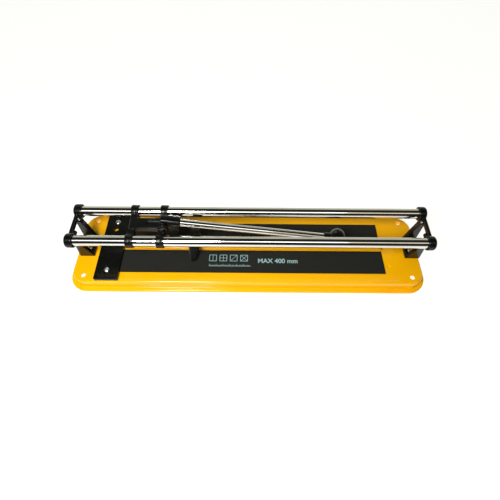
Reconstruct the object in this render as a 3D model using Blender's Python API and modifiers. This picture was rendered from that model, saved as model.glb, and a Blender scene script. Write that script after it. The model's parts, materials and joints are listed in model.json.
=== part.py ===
"""Manual tile cutter with a 400 mm cut, modelled at its real size in metres.

The tray stands on z = 0 with its middle at the origin. The two rails run along X, the fence is
at the -X end, and the folded handle points to +X. Every separate piece of the tool is one object.
The lever pieces are built in the lever's own frame: its origin is the pivot, its X axis is the
middle line of the handle tube.
"""
import math

import bmesh
import bpy
from mathutils import Matrix, Vector

GAP = 0.0003                       # clearance between pieces that touch

# Pressed steel tray
TRAY_TOP = 0.016
TRAY_HALF_X = 0.243
TRAY_HALF_Y = 0.057
TRAY_CORNER = 0.020
TRAY_SHEET = 0.0012
FLANGE_WIDTH = 0.0065
FLANGE_TOP = 0.003
LIP_RADIUS = 0.0018
FOOT_FILLET = 0.0012
EDGE_RADIUS = 0.0025
WALL_DRAFT = 0.0005
CORNER_STEPS = 6
ARC_STEPS = 3
MOUNT_HOLE_X = 0.2267
MOUNT_HOLE_Y = 0.0465
MOUNT_HOLE_RADIUS = 0.00325

# Breaking ridge pressed up along the middle of the tray
RIDGE_WIDTH = 0.008
RIDGE_HEIGHT = 0.003
RIDGE_START_X = -0.170
RIDGE_END_X = 0.194

# Foam pads
PAD_START_X = -0.1773
PAD_END_X = 0.1903
PAD_INNER_Y = 0.0057
PAD_OUTER_Y = 0.0417
PAD_THICKNESS = 0.002

# Fence
FENCE_FACE_X = -0.1776
FENCE_WIDTH = 0.0325
FENCE_HALF_Y = 0.0550
FENCE_HEIGHT = 0.005
FENCE_SCREW_X = -0.1945
FENCE_SCREW_Y = 0.0406
FENCE_RECESS_RADIUS = 0.0055
FENCE_RECESS_DEPTH = 0.0016
FENCE_HOLE = (-0.1950, 0.0275)
FENCE_HOLE_RADIUS = 0.0034

# Rails and the frame that the end brackets make with them
CUTTING_LENGTH = 0.400
BRACKET_GAP_HALF = 0.2198          # middle of the rails to a bracket's inner face
RAIL_MID_X = FENCE_FACE_X + CUTTING_LENGTH - BRACKET_GAP_HALF
RAIL_RADIUS = 0.007
RAIL_BORE = 0.0058
RAIL_Y = 0.0241
RAIL_Z = TRAY_TOP + 0.0518
RAIL_HALF_LENGTH = 0.2335

# End brackets, measured outwards from the middle of the rails and up from the tray's top
BRACKET_FOOT_LENGTH = 0.0204
BRACKET_FOOT_HALF_Y = 0.0163
BRACKET_FOOT_HEIGHT = 0.0045
BRACKET_LEG_THICKNESS = 0.0038
LEG_FOOT_HEIGHT = 0.0007
LEG_KNEE_HEIGHT = 0.0404
LEG_TOP_HEIGHT = 0.0492
LEG_NECK_INNER = 0.2297
LEG_NECK_OUTER = 0.2370
LEG_NECK_INNER_Y = 0.0108
LEG_NECK_OUTER_Y = 0.0190
LEG_FACET = 0.0035                 # how much of the neck's outer rear corner is cut away
SOCKET_RADIUS = 0.0095
SOCKET_INNER = 0.2273
SOCKET_OUTER = 0.2375
SOCKET_DOME = 0.0030
SOCKET_CHAMFER = 0.0006
SOCKET_BORE_END = 0.2340
CROSSBAR_INNER = 0.2319
CROSSBAR_OUTER = 0.2358
CROSSBAR_HEIGHT = 0.0072
GUSSET_INNER = 0.2312
GUSSET_SPAN = 0.0091
GUSSET_DROP = 0.0145
ROOT_Y = 0.0180                    # crossbar and bosses end here, inside the sockets
BOSS_RADIUS = 0.0035
BOSS_X = 0.2300
BOSS_INNER_Y = 0.0100
RAIL_SCREW_Y = (0.0092, 0.0166)
BRACKET_BOLT_X = 0.2282
BRACKET_BOLT_Y = 0.0070

# Small fasteners
THREAD_RADIUS = 0.0020
CLEARANCE_RADIUS = 0.0024
PAN_HEAD_RADIUS = 0.0038
PAN_HEAD_HEIGHT = 0.0024
POINT_CHAMFER = 0.0005
SCREW_STICK_OUT = 0.0015
NUT_HEIGHT = 0.0032
NUT_CORNER_RADIUS = 0.00404

# Carriage
RING_XS = (-0.1528, -0.1134)
RING_WIDTH = 0.0098
RING_RADIUS = 0.0090
RING_CHAMFER = 0.0005
RING_GROOVE_AT = 0.0016
RING_GROOVE_HALF = 0.0005
RING_GROOVE_DEPTH = 0.0006
RING_BORE = 0.0075
SPINE_START_X = -0.1562
SPINE_END_X = -0.1160
SPINE_HALF_Y = 0.0088
SPINE_TOP = TRAY_TOP + 0.0584
SPINE_HEIGHT = 0.0085
POCKET_START_X = -0.1340
POCKET_HALF_Y = 0.0050
POCKET_DEPTH = 0.0032
ARM_TOP = TRAY_TOP + 0.0563
ARM_HEIGHT = 0.0074
ARM_HALF_WIDTH = 0.0044
ARM_OVERLAP = 0.0020
EAR_INNER_Y = 0.0056
EAR_THICKNESS = 0.0024
EAR_RADIUS = 0.0050
EAR_ROOT = 0.0046

# Lever, with distances along the tube measured from the pivot
PIVOT_X = -0.111
PIVOT_Z = TRAY_TOP + 0.0630
LEVER_TILT = math.radians(8.95)
PIN_RADIUS = 0.0020
PIN_BORE = 0.0023
PIN_HEAD_RADIUS = 0.0032
PIN_HEAD_HEIGHT = 0.0018
PIN_GROOVE_DEPTH = 0.0005
PIN_TIP = 0.0012
CLIP_RADIUS = 0.0037
CLIP_THICKNESS = 0.0010
CLIP_PLAY = 0.0002
HEAD_RADIUS = 0.0081
HEAD_START = -0.0034
HEAD_SHOULDER = 0.0066
HEAD_TONGUE_HALF_Y = 0.0053
HEAD_END = 0.0221
HEAD_CHAMFER = 0.0009
HEAD_BORE_START = 0.0072
TUBE_RADIUS = 0.005
TUBE_WALL = 0.001
TUBE_START = 0.0076
TUBE_END = 0.2300
SET_SCREW_AT = 0.0100
COLLAR_START = 0.2167
COLLAR_END = 0.2250
COLLAR_RADIUS = 0.0065
COLLAR_CHAMFER = 0.0005
KNOB_CENTRE = 0.2360
KNOB_HALF_LENGTH = 0.0118
KNOB_RADIUS = 0.0139

# Scoring wheel and its fork
WHEEL_AT = 0.0141
WHEEL_RADIUS = 0.0110
WHEEL_DROP = 0.0470
WHEEL_HALF_WIDTH = 0.0017
WHEEL_HUB_RADIUS = 0.0044
WHEEL_DISC_HALF = 0.0011
WHEEL_EDGE_DEPTH = 0.0021
WHEEL_EDGE_HALF = 0.0001
AXLE_RADIUS = 0.0021
AXLE_BORE = 0.0025
RIVET_RADIUS = 0.0033
RIVET_HEIGHT = 0.0014
FORK_HALF_WIDTH = 0.0062
FORK_SLOT_HALF = 0.0021
FORK_HALF_Y = 0.0050
FORK_FLARE = 0.0010
FORK_ROOT = -0.0050
FORK_SLOT_TOP = -0.0330

# Breaker foot
FOOT_AT = 0.0420
FOOT_POST_HALF_X = 0.0066
FOOT_POST_HALF_Y = 0.0040
FOOT_POST_TOP = -0.0032
FOOT_POST_BOTTOM = -0.0370
FOOT_SCREW_SEAT = -0.0290
FOOT_SCREW_HEAD_RADIUS = 0.0030
WING_START_Y = 0.0010
WING_START_Z = -0.0322
WING_SLOPE = math.radians(38)
WING_LENGTH = 0.0320
WING_THICKNESS = 0.0048
WING_ROOT_HALF = 0.0072
WING_TIP_RADIUS = 0.0042
WING_STRAIGHT = 0.45               # share of the wing's length before it narrows

CUT = 0.002                        # how far a cutting tool reaches past the surface it cuts

ALONG_X = Matrix.Rotation(math.radians(90), 4, "Y")
AGAINST_X = Matrix.Rotation(math.radians(-90), 4, "Y")
ALONG_Y = Matrix.Rotation(math.radians(-90), 4, "X")
UPRIGHT = Matrix.Rotation(math.radians(90), 4, "X")


# ---------------------------------------------------------------- scene, materials and objects

def clear_scene():
    for item in list(bpy.data.objects):
        bpy.data.objects.remove(item, do_unlink=True)


def new_collection(name):
    collection = bpy.data.collections.new(name)
    bpy.context.scene.collection.children.link(collection)
    return collection


def new_material(name, colour, roughness, metallic=0.0):
    material = bpy.data.materials.new(name)
    material.use_nodes = True
    shader = material.node_tree.nodes["Principled BSDF"]
    shader.inputs["Base Color"].default_value = (*colour, 1.0)
    shader.inputs["Roughness"].default_value = roughness
    shader.inputs["Metallic"].default_value = metallic
    return material


def new_frame(name, matrix, parent=None):
    """An empty that moving pieces are parented to."""
    empty = bpy.data.objects.new(name, None)
    PARTS.objects.link(empty)
    empty.parent = parent
    empty.matrix_local = matrix
    return empty


def new_part(name, mesh, material, matrix=Matrix(), parent=None):
    item = bpy.data.objects.new(name, mesh)
    mesh.materials.append(material)
    PARTS.objects.link(item)
    item.parent = parent
    item.matrix_local = matrix
    return item


def new_tool(name, mesh, matrix=Matrix(), parent=None):
    """A shape that only joins to, or cuts, a part."""
    item = bpy.data.objects.new(name, mesh)
    TOOLS.objects.link(item)
    item.parent = parent
    item.matrix_local = matrix
    item.hide_render = True
    item.display_type = "WIRE"
    return item


# ---------------------------------------------------------------- basic shapes

def box_mesh(low, high):
    low = Vector(low)
    high = Vector(high)
    shape = bmesh.new()
    bmesh.ops.create_cube(shape, size=1.0)
    bmesh.ops.scale(shape, vec=high - low, verts=shape.verts)
    bmesh.ops.translate(shape, vec=(low + high) / 2, verts=shape.verts)
    return finished_mesh(shape, "box")


def rod_mesh(radius, low, high, segments=24):
    """A cylinder along Z from low to high."""
    shape = bmesh.new()
    bmesh.ops.create_cone(shape, cap_ends=True, segments=segments, radius1=radius, radius2=radius,
                          depth=high - low)
    bmesh.ops.translate(shape, vec=(0, 0, (low + high) / 2), verts=shape.verts)
    return finished_mesh(shape, "rod")


def hull_mesh(points):
    """A loft between two unlike sections, as the hull of their corners."""
    shape = bmesh.new()
    for point in points:
        shape.verts.new(point)
    bmesh.ops.convex_hull(shape, input=shape.verts)
    return finished_mesh(shape, "hull")


def finished_mesh(shape, name):
    bmesh.ops.recalc_face_normals(shape, faces=shape.faces)
    mesh = bpy.data.meshes.new(name)
    shape.to_mesh(mesh)
    shape.free()
    return mesh


def profile_mesh(outline, closed=False):
    """The half section of a turned piece, as (radius, height) points down its outer side."""
    mesh = bpy.data.meshes.new("profile")
    edges = [(index, index + 1) for index in range(len(outline) - 1)]
    if closed:
        edges.append((len(outline) - 1, 0))
    mesh.from_pydata([(radius, 0, height) for radius, height in outline], edges, [])
    return mesh


def turn(item, segments=32):
    screw = item.modifiers.new("turned", "SCREW")
    screw.steps = segments
    screw.render_steps = segments
    screw.use_merge_vertices = True
    screw.merge_threshold = 0.00005
    screw.use_smooth_shade = True
    return item


def plate_mesh(outline, thickness):
    """A flat outline in XY, as thick as given, centred on z = 0."""
    curve = bpy.data.curves.new("outline", "CURVE")
    curve.dimensions = "2D"
    curve.fill_mode = "BOTH"
    curve.extrude = thickness / 2
    spline = curve.splines.new("POLY")
    spline.points.add(len(outline) - 1)
    for point, (x, y) in zip(spline.points, outline):
        point.co = (x, y, 0, 1)
    spline.use_cyclic_u = True
    drawn = bpy.data.objects.new("outline", curve)
    TOOLS.objects.link(drawn)
    bpy.context.view_layer.update()
    flat = bpy.data.meshes.new_from_object(drawn.evaluated_get(bpy.context.evaluated_depsgraph_get()))
    shape = bmesh.new()
    shape.from_mesh(flat)
    bmesh.ops.remove_doubles(shape, verts=shape.verts, dist=0.00001)
    bpy.data.objects.remove(drawn)
    bpy.data.curves.remove(curve)
    flat.materials.clear()
    return finished_mesh(shape, "plate")


def arc(centre, radius, start, end, steps):
    """Points on a circle from one angle to another, in degrees."""
    points = []
    for step in range(steps + 1):
        angle = math.radians(start + (end - start) * step / steps)
        points.append((centre[0] + radius * math.cos(angle), centre[1] + radius * math.sin(angle)))
    return points


# ---------------------------------------------------------------- modifiers

def bevel(item, width, segments=2):
    modifier = item.modifiers.new("rounded edges", "BEVEL")
    modifier.width = width
    modifier.segments = segments
    modifier.limit_method = "ANGLE"
    modifier.angle_limit = math.radians(40)
    return item


def combine(item, tools, operation):
    for tool in tools:
        modifier = item.modifiers.new(f"{operation.lower()} {tool.name}", "BOOLEAN")
        modifier.operation = operation
        modifier.solver = "EXACT"
        modifier.object = tool


def shade_round(item, angle=35):
    item.data.shade_smooth()
    item.data.set_sharp_from_angle(angle=math.radians(angle))
    return item


# ---------------------------------------------------------------- tray, ridge and pads

def rounded_rectangle(outset, height):
    """The tray's outline, moved out from the edge of its top by the outset."""
    radius = TRAY_CORNER + outset
    reach_x = TRAY_HALF_X - TRAY_CORNER
    reach_y = TRAY_HALF_Y - TRAY_CORNER
    points = []
    for corner, (side_x, side_y) in enumerate(((1, 1), (-1, 1), (-1, -1), (1, -1))):
        centre = (side_x * reach_x, side_y * reach_y)
        for x, y in arc(centre, radius, 90 * corner, 90 * corner + 90, CORNER_STEPS):
            points.append((x, y, height))
    return points


def tray_section():
    """(outset, height) points from the lip's bottom up to the edge of the flat top."""
    lip = (FLANGE_WIDTH - LIP_RADIUS, FLANGE_TOP - LIP_RADIUS)
    fillet = (WALL_DRAFT + FOOT_FILLET, FLANGE_TOP + FOOT_FILLET)
    edge = (-EDGE_RADIUS, TRAY_TOP - EDGE_RADIUS)
    section = [(FLANGE_WIDTH, 0.0)]
    section += arc(lip, LIP_RADIUS, 0, 90, ARC_STEPS)
    section += arc(fillet, FOOT_FILLET, 270, 180, ARC_STEPS)
    section += arc(edge, EDGE_RADIUS, 0, 90, ARC_STEPS)
    return section


def tray_mesh():
    shape = bmesh.new()
    loops = []
    for outset, height in tray_section():
        loops.append([shape.verts.new(point) for point in rounded_rectangle(outset, height)])
    for lower, upper in zip(loops, loops[1:]):
        for index in range(len(lower)):
            following = (index + 1) % len(lower)
            shape.faces.new((lower[index], lower[following], upper[following], upper[index]))
    shape.faces.new(loops[-1])
    return finished_mesh(shape, "tray")


def ridge_mesh(radius):
    """A round bar with round ends along X, from a sphere pulled apart at its middle."""
    shape = bmesh.new()
    bmesh.ops.create_uvsphere(shape, u_segments=24, v_segments=9, radius=radius)
    bmesh.ops.rotate(shape, verts=shape.verts, matrix=ALONG_X.to_3x3())
    reach = (RIDGE_END_X - RIDGE_START_X) / 2 - RIDGE_WIDTH / 2
    for vertex in shape.verts:
        vertex.co.x += math.copysign(reach, vertex.co.x)
    return finished_mesh(shape, "ridge")


def build_tray():
    tray = new_part("base_tray", tray_mesh(), YELLOW)
    sheet = tray.modifiers.new("sheet", "SOLIDIFY")
    sheet.thickness = TRAY_SHEET
    sheet.offset = -1.0
    sheet.use_even_offset = True
    radius = (RIDGE_WIDTH ** 2 / 4 + RIDGE_HEIGHT ** 2) / (2 * RIDGE_HEIGHT)
    place = Matrix.Translation(((RIDGE_START_X + RIDGE_END_X) / 2, 0, TRAY_TOP + RIDGE_HEIGHT - radius))
    bump = new_tool("ridge_outside", ridge_mesh(radius), place)
    below = box_mesh((-1, -1, -1), (1, 1, TRAY_TOP - TRAY_SHEET / 2))
    combine(bump, [new_tool("ridge_base", below)], "DIFFERENCE")
    combine(tray, [bump], "UNION")
    cutters = [new_tool("ridge_inside", ridge_mesh(radius - TRAY_SHEET), place)]
    holes = [(x, y, MOUNT_HOLE_RADIUS) for x in (-MOUNT_HOLE_X, MOUNT_HOLE_X)
             for y in (-MOUNT_HOLE_Y, MOUNT_HOLE_Y)]
    holes += [(FENCE_SCREW_X, y, CLEARANCE_RADIUS) for y in (-FENCE_SCREW_Y, FENCE_SCREW_Y)]
    holes += [(RAIL_MID_X + side * BRACKET_BOLT_X, y, CLEARANCE_RADIUS) for side in (-1, 1)
              for y in (-BRACKET_BOLT_Y, BRACKET_BOLT_Y)]
    for number, (x, y, hole_radius) in enumerate(holes):
        hole = rod_mesh(hole_radius, TRAY_TOP - TRAY_SHEET - CUT, TRAY_TOP + CUT)
        cutters.append(new_tool(f"tray_hole_{number}", hole, Matrix.Translation((x, y, 0))))
    combine(tray, cutters, "DIFFERENCE")


def build_pads():
    bottom = TRAY_TOP + GAP
    for name, side in (("front_pad", -1), ("rear_pad", 1)):
        near, far = sorted((side * PAD_INNER_Y, side * PAD_OUTER_Y))
        mesh = box_mesh((PAD_START_X, near, bottom), (PAD_END_X, far, bottom + PAD_THICKNESS))
        bevel(new_part(name, mesh, FOAM), 0.0004, 1)


# ---------------------------------------------------------------- fasteners

def pan_screw(name, seat, length, matrix, parent=None, head_radius=PAN_HEAD_RADIUS):
    """A pan-head screw along -Z, its head's underside at height seat."""
    top = seat + PAN_HEAD_HEIGHT
    point = seat - length
    outline = [(0.0, top), (head_radius * 0.6, top - PAN_HEAD_HEIGHT * 0.12),
               (head_radius * 0.9, top - PAN_HEAD_HEIGHT * 0.40), (head_radius, top - PAN_HEAD_HEIGHT * 0.75),
               (head_radius, seat), (THREAD_RADIUS, seat), (THREAD_RADIUS, point + POINT_CHAMFER),
               (THREAD_RADIUS - POINT_CHAMFER, point), (0.0, point)]
    return turn(new_part(name, profile_mesh(outline), ZINC, matrix, parent), 20)


def hex_nut(name, top, matrix):
    body = rod_mesh(NUT_CORNER_RADIUS, top - NUT_HEIGHT, top, segments=6)
    nut = new_part(name, body, ZINC, matrix)
    bore = rod_mesh(CLEARANCE_RADIUS, top - NUT_HEIGHT - CUT, top + CUT, segments=20)
    combine(nut, [new_tool(f"{name}_bore", bore, matrix)], "DIFFERENCE")


def screw_and_nut(screw_name, nut_name, x, y, seat):
    """A screw down through the tray and the nut that holds it under the sheet."""
    place = Matrix.Translation((x, y, 0))
    nut_top = TRAY_TOP - TRAY_SHEET - GAP
    pan_screw(screw_name, seat, seat - nut_top + NUT_HEIGHT + SCREW_STICK_OUT, place)
    hex_nut(nut_name, nut_top, place)


# ---------------------------------------------------------------- fence

def build_fence():
    bottom = TRAY_TOP + GAP
    top = bottom + FENCE_HEIGHT
    mesh = box_mesh((FENCE_FACE_X - FENCE_WIDTH, -FENCE_HALF_Y, bottom),
                    (FENCE_FACE_X, FENCE_HALF_Y, top))
    fence = bevel(new_part("fence_bar", mesh, BLACK), 0.0010)
    cutters = []
    for end, side in (("front", -1), ("rear", 1)):
        place = Matrix.Translation((FENCE_SCREW_X, side * FENCE_SCREW_Y, 0))
        recess = rod_mesh(FENCE_RECESS_RADIUS, top - FENCE_RECESS_DEPTH, top + CUT)
        cutters.append(new_tool(f"fence_recess_{end}", recess, place))
        hole = rod_mesh(CLEARANCE_RADIUS, bottom - CUT, top + CUT)
        cutters.append(new_tool(f"fence_screw_hole_{end}", hole, place))
        screw_and_nut(f"fence_screw_{end}", f"fence_nut_{end}", FENCE_SCREW_X, side * FENCE_SCREW_Y,
                      top - FENCE_RECESS_DEPTH + GAP)
    gauge_hole = rod_mesh(FENCE_HOLE_RADIUS, bottom - CUT, top + CUT)
    cutters.append(new_tool("fence_gauge_hole", gauge_hole, Matrix.Translation((*FENCE_HOLE, 0))))
    combine(fence, cutters, "DIFFERENCE")


# ---------------------------------------------------------------- rails and end brackets

def build_rails():
    outline = [(RAIL_RADIUS, RAIL_HALF_LENGTH), (RAIL_RADIUS, -RAIL_HALF_LENGTH),
               (RAIL_BORE, -RAIL_HALF_LENGTH), (RAIL_BORE, RAIL_HALF_LENGTH)]
    for name, side in (("front_rail", -1), ("rear_rail", 1)):
        place = Matrix.Translation((RAIL_MID_X, side * RAIL_Y, RAIL_Z)) @ ALONG_X
        turn(new_part(name, profile_mesh(outline, closed=True), CHROME, place), 40)


def outward_box(side, low, high):
    """A box whose X limits are distances outwards from the middle of the rails."""
    near, far = sorted((RAIL_MID_X + side * low[0], RAIL_MID_X + side * high[0]))
    return box_mesh((near, low[1], low[2]), (far, high[1], high[2]))


def mirrored_hull(side, row, corners):
    """A hull whose corners are (outwards, sideways, up) distances for one end and one row."""
    return hull_mesh([(RAIL_MID_X + side * x, row * y, TRAY_TOP + z) for x, y, z in corners])


def leg_section(height):
    """The leg's section at its neck, with its outer rear corner cut to a slanting facet."""
    facet_x = LEG_NECK_OUTER - LEG_FACET
    facet_y = LEG_NECK_OUTER_Y - LEG_FACET
    return [(x, y, height) for x, y in
            ((LEG_NECK_INNER, LEG_NECK_INNER_Y), (LEG_NECK_INNER, LEG_NECK_OUTER_Y),
             (facet_x, LEG_NECK_OUTER_Y), (LEG_NECK_OUTER, facet_y), (LEG_NECK_OUTER, LEG_NECK_INNER_Y))]


def leg_meshes(side, row):
    """A leg that narrows and leans out as it rises to its knee, and the upright neck above it."""
    inner_y = BRACKET_FOOT_HALF_Y - BRACKET_LEG_THICKNESS
    end = BRACKET_GAP_HALF + BRACKET_FOOT_LENGTH
    base = [(x, y, LEG_FOOT_HEIGHT) for x in (BRACKET_GAP_HALF, end) for y in (inner_y, BRACKET_FOOT_HALF_Y)]
    knee = leg_section(LEG_KNEE_HEIGHT)
    return [mirrored_hull(side, row, base + knee),
            mirrored_hull(side, row, knee + leg_section(LEG_TOP_HEIGHT))]


def gusset_mesh(side, row):
    """The web in the corner between the crossbar and a leg."""
    root_y = LEG_NECK_INNER_Y + GUSSET_SPAN * 0.6
    corners = [(x, y, z) for x in (GUSSET_INNER, CROSSBAR_OUTER)
               for y, z in ((root_y, LEG_TOP_HEIGHT - GUSSET_DROP), (root_y, LEG_TOP_HEIGHT),
                            (root_y - GUSSET_SPAN, LEG_TOP_HEIGHT))]
    return mirrored_hull(side, row, corners)


def socket_outline():
    """The closed round socket that a rail's end sits in, along Z from its domed end."""
    outline = [(0.0, SOCKET_OUTER)]
    centre = (SOCKET_RADIUS - SOCKET_DOME, SOCKET_OUTER - SOCKET_DOME)
    outline += arc(centre, SOCKET_DOME, 80, 0, 4)
    outline += [(SOCKET_RADIUS, SOCKET_INNER + SOCKET_CHAMFER), (SOCKET_RADIUS - SOCKET_CHAMFER, SOCKET_INNER),
                (0.0, SOCKET_INNER)]
    return outline


def build_bracket(end, side):
    bottom = TRAY_TOP + GAP
    foot_top = bottom + BRACKET_FOOT_HEIGHT
    foot_end = BRACKET_GAP_HALF + BRACKET_FOOT_LENGTH
    name = f"{end}_bracket"
    foot = outward_box(side, (BRACKET_GAP_HALF, -BRACKET_FOOT_HALF_Y, bottom),
                       (foot_end, BRACKET_FOOT_HALF_Y, foot_top))
    bracket = bevel(new_part(name, foot, BLACK), 0.0005, 1)
    outward = ALONG_X if side > 0 else AGAINST_X
    bar = outward_box(side, (CROSSBAR_INNER, -ROOT_Y, RAIL_Z - CROSSBAR_HEIGHT / 2),
                      (CROSSBAR_OUTER, ROOT_Y, RAIL_Z + CROSSBAR_HEIGHT / 2))
    joined = [bevel(new_tool(f"{name}_crossbar", bar), 0.0008, 1)]
    cutters = []
    for row_name, row in (("front", -1), ("rear", 1)):
        axis = Matrix.Translation((RAIL_MID_X, row * RAIL_Y, RAIL_Z)) @ outward
        socket = new_tool(f"{name}_socket_{row_name}", profile_mesh(socket_outline()), axis)
        joined.append(turn(socket, 32))
        for piece, mesh in zip(("leg", "neck"), leg_meshes(side, row)):
            joined.append(new_tool(f"{name}_{piece}_{row_name}", mesh))
        joined.append(new_tool(f"{name}_gusset_{row_name}", gusset_mesh(side, row)))
        across = Matrix.Translation((RAIL_MID_X + side * BOSS_X, 0, RAIL_Z)) @ ALONG_Y
        boss = rod_mesh(BOSS_RADIUS, *sorted((row * BOSS_INNER_Y, row * ROOT_Y)), 20)
        joined.append(new_tool(f"{name}_boss_{row_name}", boss, across))
        bore = rod_mesh(RAIL_RADIUS + GAP, SOCKET_INNER - CUT, SOCKET_BORE_END, 40)
        cutters.append(new_tool(f"{name}_bore_{row_name}", bore, axis))
        thread = rod_mesh(CLEARANCE_RADIUS, *sorted((row * (BOSS_INNER_Y - CUT), row * RAIL_Y)), 20)
        cutters.append(new_tool(f"{name}_thread_{row_name}", thread, across))
        grub = rod_mesh(THREAD_RADIUS, *sorted(row * y for y in RAIL_SCREW_Y), 20)
        shade_round(new_part(f"{end}_rail_screw_{row_name}", grub, ZINC, across))
        bolt_x = RAIL_MID_X + side * BRACKET_BOLT_X
        bolt_hole = rod_mesh(CLEARANCE_RADIUS, bottom - CUT, foot_top + CUT, 20)
        place = Matrix.Translation((bolt_x, row * BRACKET_BOLT_Y, 0))
        cutters.append(new_tool(f"{name}_bolt_hole_{row_name}", bolt_hole, place))
        screw_and_nut(f"{name}_bolt_{row_name}", f"{name}_nut_{row_name}", bolt_x, row * BRACKET_BOLT_Y,
                      foot_top + GAP)
    combine(bracket, joined, "UNION")
    combine(bracket, cutters, "DIFFERENCE")


# ---------------------------------------------------------------- carriage

def ring_outline():
    """A carriage ring's half section: a short sleeve with one groove round it."""
    half = RING_WIDTH / 2
    floor = RING_RADIUS - RING_GROOVE_DEPTH
    groove_low = RING_GROOVE_AT - RING_GROOVE_HALF
    groove_high = RING_GROOVE_AT + RING_GROOVE_HALF
    return [(0.0, half), (RING_RADIUS - RING_CHAMFER, half), (RING_RADIUS, half - RING_CHAMFER),
            (RING_RADIUS, groove_high), (floor, groove_high), (floor, groove_low), (RING_RADIUS, groove_low),
            (RING_RADIUS, RING_CHAMFER - half), (RING_RADIUS - RING_CHAMFER, -half), (0.0, -half)]


def ear_outline():
    """A pivot ear seen from the front, from the spine's end up and round the pivot."""
    bottom = ARM_TOP - ARM_HEIGHT + GAP
    root = SPINE_END_X - EAR_ROOT
    outline = [(root, bottom), (PIVOT_X + EAR_RADIUS - EAR_THICKNESS / 2, bottom)]
    outline += arc((PIVOT_X, PIVOT_Z), EAR_RADIUS, 0, 180, 10)
    outline += [(root, ARM_TOP - GAP)]
    return outline


def build_carriage(frame):
    to_frame = Matrix.Translation(-frame.matrix_world.translation)
    spine = box_mesh((SPINE_START_X, -SPINE_HALF_Y, SPINE_TOP - SPINE_HEIGHT),
                     (SPINE_END_X, SPINE_HALF_Y, SPINE_TOP))
    carriage = bevel(new_part("carriage_frame", spine, BLACK, to_frame, frame), 0.0008, 1)
    joined = []
    cutters = []
    for row_name, row in (("front", -1), ("rear", 1)):
        for ring_name, ring_x, arm_inner in (("left", RING_XS[0], SPINE_HALF_Y - ARM_OVERLAP),
                                             ("right", RING_XS[1], EAR_INNER_Y + ARM_OVERLAP / 4)):
            axis = to_frame @ Matrix.Translation((ring_x, row * RAIL_Y, RAIL_Z)) @ ALONG_X
            name = f"{ring_name}_{row_name}"
            joined.append(turn(new_tool(f"ring_{name}", profile_mesh(ring_outline()), axis, frame)))
            bore = rod_mesh(RING_BORE, -RING_WIDTH, RING_WIDTH, 32)
            cutters.append(new_tool(f"ring_bore_{name}", bore, axis, frame))
            near, far = sorted((row * arm_inner, row * (RAIL_Y - RING_BORE)))
            arm = box_mesh((ring_x - ARM_HALF_WIDTH, near, ARM_TOP - ARM_HEIGHT),
                           (ring_x + ARM_HALF_WIDTH, far, ARM_TOP))
            joined.append(new_tool(f"arm_{name}", arm, to_frame, frame))
        across = Matrix.Translation((0, row * (EAR_INNER_Y + EAR_THICKNESS / 2), 0)) @ UPRIGHT
        ear = plate_mesh(ear_outline(), EAR_THICKNESS)
        joined.append(new_tool(f"ear_{row_name}", ear, to_frame @ across, frame))
    combine(carriage, joined, "UNION")
    pocket = box_mesh((POCKET_START_X, -POCKET_HALF_Y, SPINE_TOP - POCKET_DEPTH),
                      (SPINE_END_X + CUT, POCKET_HALF_Y, SPINE_TOP + CUT))
    cutters.append(new_tool("carriage_pocket", pocket, to_frame, frame))
    pivot = to_frame @ Matrix.Translation((PIVOT_X, 0, PIVOT_Z)) @ ALONG_Y
    cutters.append(new_tool("ear_bore", rod_mesh(PIN_BORE, -SPINE_HALF_Y, SPINE_HALF_Y), pivot, frame))
    combine(carriage, cutters, "DIFFERENCE")
    build_pivot_pin(pivot, frame)


def build_pivot_pin(pivot, frame):
    """The pin along Y: its head is at the front, its groove and clip at the rear."""
    clip_low = EAR_INNER_Y + EAR_THICKNESS + GAP
    clip_high = clip_low + CLIP_THICKNESS
    groove = PIN_RADIUS - PIN_GROOVE_DEPTH
    tip = clip_high + CLIP_PLAY + PIN_TIP
    head_end = -clip_low - PIN_HEAD_HEIGHT
    outline = [(0.0, tip), (PIN_RADIUS - PIN_GROOVE_DEPTH, tip), (PIN_RADIUS, tip - PIN_GROOVE_DEPTH),
               (PIN_RADIUS, clip_high + CLIP_PLAY), (groove, clip_high + CLIP_PLAY),
               (groove, clip_low - CLIP_PLAY), (PIN_RADIUS, clip_low - CLIP_PLAY),
               (PIN_RADIUS, -clip_low), (PIN_HEAD_RADIUS, -clip_low),
               (PIN_HEAD_RADIUS, head_end + PIN_HEAD_HEIGHT / 2), (PIN_HEAD_RADIUS * 0.75, head_end),
               (0.0, head_end)]
    turn(new_part("pivot_pin", profile_mesh(outline), ZINC, pivot, frame), 24)
    inside = groove + GAP
    ring = [(CLIP_RADIUS, clip_high), (CLIP_RADIUS, clip_low), (inside, clip_low), (inside, clip_high)]
    turn(new_part("pivot_clip", profile_mesh(ring, closed=True), ZINC, pivot, frame), 24)


# ---------------------------------------------------------------- lever

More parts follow.
